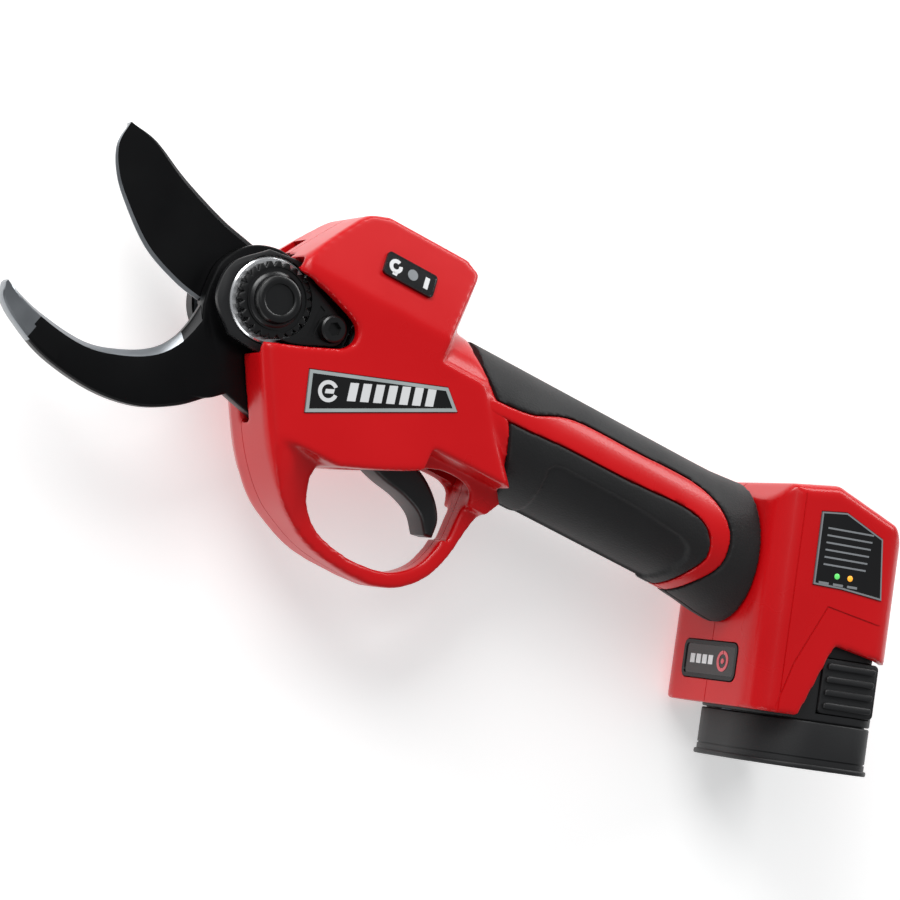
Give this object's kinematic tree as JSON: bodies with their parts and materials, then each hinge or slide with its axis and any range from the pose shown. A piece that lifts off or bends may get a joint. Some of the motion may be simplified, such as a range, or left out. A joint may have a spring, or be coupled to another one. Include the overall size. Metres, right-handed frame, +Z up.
{
  "type": "battery electric pruner",
  "caption": "Hand-held battery pruner: hooked fixed blade and curved moving blade on one pivot, trigger in a finger guard, round rubber grip, battery housing at the tail.",
  "frame": {"origin": "middle of the bounding box, at the underside of the tool lying on its right side", "axes": "+X along the handle from the blades to the battery, +Y to the tool's back, +Z up out of its left side"},
  "size_m": [0.293, 0.093, 0.0564],
  "materials": {
    "red_abs": "glossy injection-moulded ABS, red",
    "grip_rubber": "matte overmoulded thermoplastic rubber",
    "black_abs": "fine spark-eroded black ABS",
    "black_nylon": "satin glass-filled nylon",
    "gloss_black": "gloss black plastic",
    "coated_steel": "ground tool steel under a black non-stick coating",
    "black_oxide": "black oxide steel, oiled",
    "chrome": "polished chrome plate",
    "gear_steel": "machined hardened steel",
    "zinc": "bright zinc plate",
    "bronze": "sintered bronze",
    "cast_aluminium": "die-cast, as cast",
    "copper_winding": "enamelled copper winding on a laminated core",
    "circuit_board": "green solder mask over glass-fibre board",
    "cell": "shrink-wrapped steel can",
    "red_wire": "silicone insulation",
    "black_wire": "silicone insulation"
  },
  "bodies": {
    "handle": {"left_shell": "red_abs", "right_shell": "red_abs", "left_grip_back": "grip_rubber", "left_grip_pad": "grip_rubber", "right_grip_back": "grip_rubber", "right_grip_pad": "grip_rubber", "fixed_blade": "coated_steel", "star_nut": "black_oxide", "lock_plate": "black_oxide", "lock_screw": "black_oxide", "blade_screw_1": "zinc", "blade_screw_2": "zinc", "pivot_bolt": "zinc", "spacer_ring": "chrome", "gear_cover": "black_nylon", "gear_frame": "cast_aluminium", "front_bearing": "gear_steel", "gearbox_front": "zinc", "ring_gear": "gear_steel", "motor_plate": "zinc", "motor_can": "zinc", "motor_end_cap": "black_nylon", "trigger_pin": "gear_steel", "trigger_spring": "gear_steel", "trigger_sensor": "circuit_board", "controller_board": "circuit_board", "battery_lead_plus": "red_wire", "battery_lead_minus": "black_wire", "terminal_block": "gloss_black", "power_switch": "gloss_black", "name_plate": "gloss_black", "cheek_badge": "gloss_black", "rating_plate": "gloss_black", "shell_screw_1": "zinc", "shell_screw_2": "zinc", "shell_screw_3": "zinc", "shell_screw_4": "zinc"},
    "blade": {"moving_blade": "coated_steel", "drive_sector": "gear_steel", "pivot_bush": "bronze"},
    "drive_shaft": {"pinion": "gear_steel", "planet_carrier": "gear_steel"},
    "planet_1": {"planet_1": "gear_steel"},
    "planet_2": {"planet_2": "gear_steel"},
    "planet_3": {"planet_3": "gear_steel"},
    "rotor": {"rotor": "copper_winding", "sun_gear": "bronze"},
    "trigger": {"trigger": "black_nylon"},
    "power_button": {"power_button": "gloss_black"},
    "battery": {"battery_base": "black_abs", "battery_tower": "black_abs", "cell_1": "cell", "cell_2": "cell", "cell_3": "cell", "protection_board": "circuit_board", "left_latch_spring": "gear_steel", "right_latch_spring": "gear_steel"},
    "left_latch": {"left_latch": "black_abs"},
    "right_latch": {"right_latch": "black_abs"}
  },
  "joints": [
    {"name": "blade_swing", "type": "hinge", "parent": "handle", "child": "blade", "pos_m": [-0.07933, 0.01016, 0.024], "axis": [0, 0, 1], "range_deg": [0, 54]},
    {"name": "drive_shaft_spin", "type": "hinge", "parent": "handle", "child": "drive_shaft", "pos_m": [-0.04933, 0.01016, 0.028], "axis": [1, 0, 0], "range_deg": [0, 162]},
    {"name": "planet_1_spin", "type": "hinge", "parent": "drive_shaft", "child": "planet_1", "pos_m": [-0.03533, 0.01016, 0.0205], "axis": [1, 0, 0], "range_deg": [-486, 0]},
    {"name": "planet_2_spin", "type": "hinge", "parent": "drive_shaft", "child": "planet_2", "pos_m": [-0.03533, 0.01666, 0.03175], "axis": [1, 0, 0], "range_deg": [-486, 0]},
    {"name": "planet_3_spin", "type": "hinge", "parent": "drive_shaft", "child": "planet_3", "pos_m": [-0.03533, 0.00366, 0.03175], "axis": [1, 0, 0], "range_deg": [-486, 0]},
    {"name": "rotor_spin", "type": "hinge", "parent": "handle", "child": "rotor", "pos_m": [-0.01933, 0.01016, 0.028], "axis": [1, 0, 0], "range_deg": [0, 648]},
    {"name": "trigger_pull", "type": "hinge", "parent": "handle", "child": "trigger", "pos_m": [-0.03333, -0.00804, 0.028], "axis": [0, 0, 1], "range_deg": [0, 10], "stiffness_Nm_per_rad": 0.3, "springref_deg": -11.46},
    {"name": "power_button_press", "type": "slide", "parent": "handle", "child": "power_button", "axis": [0.9613, 0.2756, 0], "range_m": [0, 0.0008], "stiffness_N_per_m": 500, "springref_m": -0.001},
    {"name": "battery_slide", "type": "slide", "parent": "handle", "child": "battery", "axis": [0.2756, -0.9613, 0], "range_m": [0, 0.06]},
    {"name": "left_latch_press", "type": "slide", "parent": "battery", "child": "left_latch", "axis": [0, 0, -1], "range_m": [0, 0.0016], "stiffness_N_per_m": 600, "springref_m": -0.001, "deforming": ["left_latch_spring"]},
    {"name": "right_latch_press", "type": "slide", "parent": "battery", "child": "right_latch", "axis": [0, 0, 1], "range_m": [0, 0.0016], "stiffness_N_per_m": 600, "springref_m": -0.001, "deforming": ["right_latch_spring"]}
  ],
  "couplings": [
    {"joint": "drive_shaft_spin", "follows": "blade_swing", "ratio": 3},
    {"joint": "planet_1_spin", "follows": "blade_swing", "ratio": -9},
    {"joint": "planet_2_spin", "follows": "blade_swing", "ratio": -9},
    {"joint": "planet_3_spin", "follows": "blade_swing", "ratio": -9},
    {"joint": "rotor_spin", "follows": "blade_swing", "ratio": 12}
  ]
}
